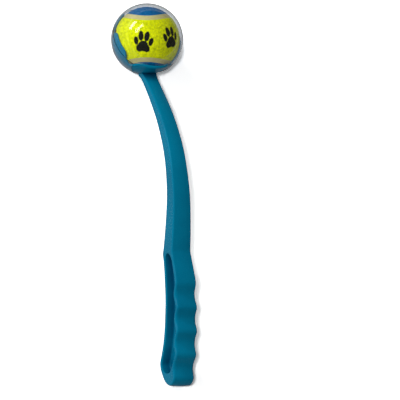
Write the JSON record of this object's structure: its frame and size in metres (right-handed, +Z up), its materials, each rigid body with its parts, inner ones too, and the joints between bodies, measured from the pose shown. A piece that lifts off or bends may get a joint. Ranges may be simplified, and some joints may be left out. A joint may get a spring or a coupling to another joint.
{
  "type": "dog ball thrower",
  "caption": "Curved plastic arm with a finger-groove grip and a fingered cup that holds a two-colour felt ball under a clear two-part cover.",
  "frame": {"origin": "on the table, under the middle of the whole thing as it lies on its cover and the heel of its grip", "axes": "+X from the cup towards the grip's butt, +Z up, +Y across the moulding; the arm's curve lies in the XZ plane"},
  "size_m": [0.3762, 0.0696, 0.0737],
  "materials": {
    "thrower_plastic": "moulded teal plastic, glossy",
    "core_rubber": "moulded natural rubber",
    "yellow_felt": "brushed wool felt, printed",
    "blue_felt": "brushed wool felt",
    "seam_cement": "dried seam cement",
    "clear_cover": "clear thermoformed sheet"
  },
  "bodies": {
    "thrower": {"throwing_cup": "thrower_plastic", "arm": "thrower_plastic", "grip": "thrower_plastic"},
    "ball": {"core_half_front": "core_rubber", "core_half_rear": "core_rubber", "felt_panel_yellow": "yellow_felt", "felt_panel_blue": "blue_felt", "cement_seam": "seam_cement"},
    "cover_front": {"cover_front": "clear_cover"},
    "cover_rear": {"cover_rear": "clear_cover"}
  },
  "joints": [
    {"name": "ball_release", "type": "slide", "parent": "thrower", "child": "ball", "axis": [-0.2459, 0, 0.9693], "range_m": [0, 0.08]},
    {"name": "cover_front_lift", "type": "slide", "parent": "thrower", "child": "cover_front", "axis": [-0.2459, 0, 0.9693], "range_m": [0, 0.13]},
    {"name": "cover_rear_pull", "type": "slide", "parent": "thrower", "child": "cover_rear", "axis": [0.2459, 0, -0.9693], "range_m": [0, 0.06]}
  ],
  "couplings": [
    {"joint": "cover_front_lift", "follows": "ball_release", "ratio": 1.6}
  ]
}
